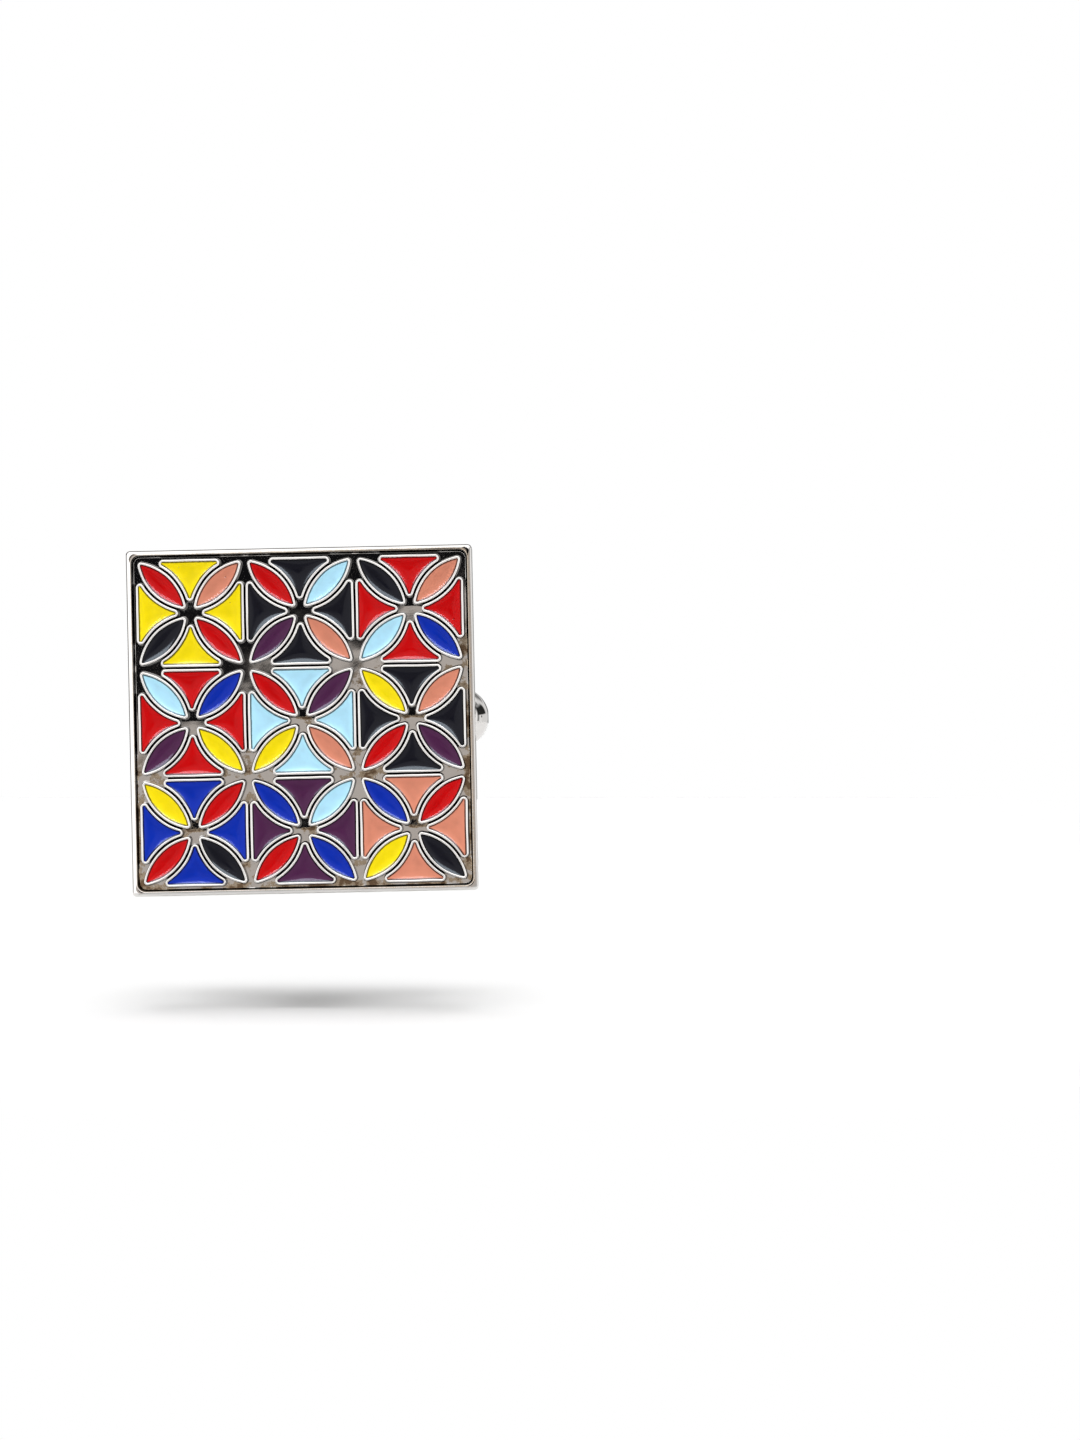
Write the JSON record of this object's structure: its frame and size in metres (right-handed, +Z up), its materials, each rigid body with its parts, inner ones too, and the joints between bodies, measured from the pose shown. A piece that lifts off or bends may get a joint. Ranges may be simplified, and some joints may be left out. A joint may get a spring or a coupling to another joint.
{
  "type": "cufflink",
  "caption": "Square cufflink with a rimmed face of enamelled petal and dart cells, and a bullet toggle that swivels between the arms of its stirrup.",
  "frame": {"origin": "middle of the face plate's flat back, where the cuff post starts", "axes": "+Y along the post, from the face to the toggle; +Z up, with the face upright and looking along -Y; +X along the closed toggle, to the right as the face is seen"},
  "size_m": [0.018, 0.0147, 0.017],
  "materials": {
    "bright_metal": "polished",
    "solder": "satin",
    "steel": "satin",
    "spring_steel": "satin",
    "red_enamel": "gloss",
    "yellow_enamel": "gloss",
    "salmon_enamel": "gloss",
    "black_enamel": "gloss",
    "light_blue_enamel": "gloss",
    "purple_enamel": "gloss",
    "blue_enamel": "gloss"
  },
  "bodies": {
    "face_and_post": {"face_plate": "bright_metal", "petal_walls": "bright_metal", "dart_walls": "bright_metal", "petal_enamel_red": "red_enamel", "petal_enamel_yellow": "yellow_enamel", "petal_enamel_salmon": "salmon_enamel", "petal_enamel_black": "black_enamel", "petal_enamel_light_blue": "light_blue_enamel", "petal_enamel_purple": "purple_enamel", "petal_enamel_blue": "blue_enamel", "dart_enamel_red": "red_enamel", "dart_enamel_yellow": "yellow_enamel", "dart_enamel_salmon": "salmon_enamel", "dart_enamel_black": "black_enamel", "dart_enamel_light_blue": "light_blue_enamel", "dart_enamel_purple": "purple_enamel", "dart_enamel_blue": "blue_enamel", "stirrup": "bright_metal", "solder_seam": "solder", "pivot_pin": "steel", "pivot_washers": "steel"},
    "toggle": {"toggle_barrel": "bright_metal", "toggle_nose_left": "bright_metal", "toggle_nose_right": "bright_metal", "detent_spring_left": "spring_steel", "detent_spring_right": "spring_steel"},
    "left_plunger": {"detent_plunger_left": "steel"},
    "right_plunger": {"detent_plunger_right": "steel"}
  },
  "joints": [
    {"name": "toggle_pivot", "type": "hinge", "parent": "face_and_post", "child": "toggle", "pos_m": [0, 0.0102, 0], "axis": [0, 0, 1], "continuous": true},
    {"name": "left_plunger_drop", "type": "slide", "parent": "toggle", "child": "left_plunger", "axis": [1, 0, 0], "range_m": [0, 0.00028], "stiffness_N_per_m": 800, "springref_m": 0.0008, "deforming": ["detent_spring_left"]},
    {"name": "right_plunger_drop", "type": "slide", "parent": "toggle", "child": "right_plunger", "axis": [-1, 0, 0], "range_m": [0, 0.00028], "stiffness_N_per_m": 800, "springref_m": 0.0008, "deforming": ["detent_spring_right"]}
  ]
}
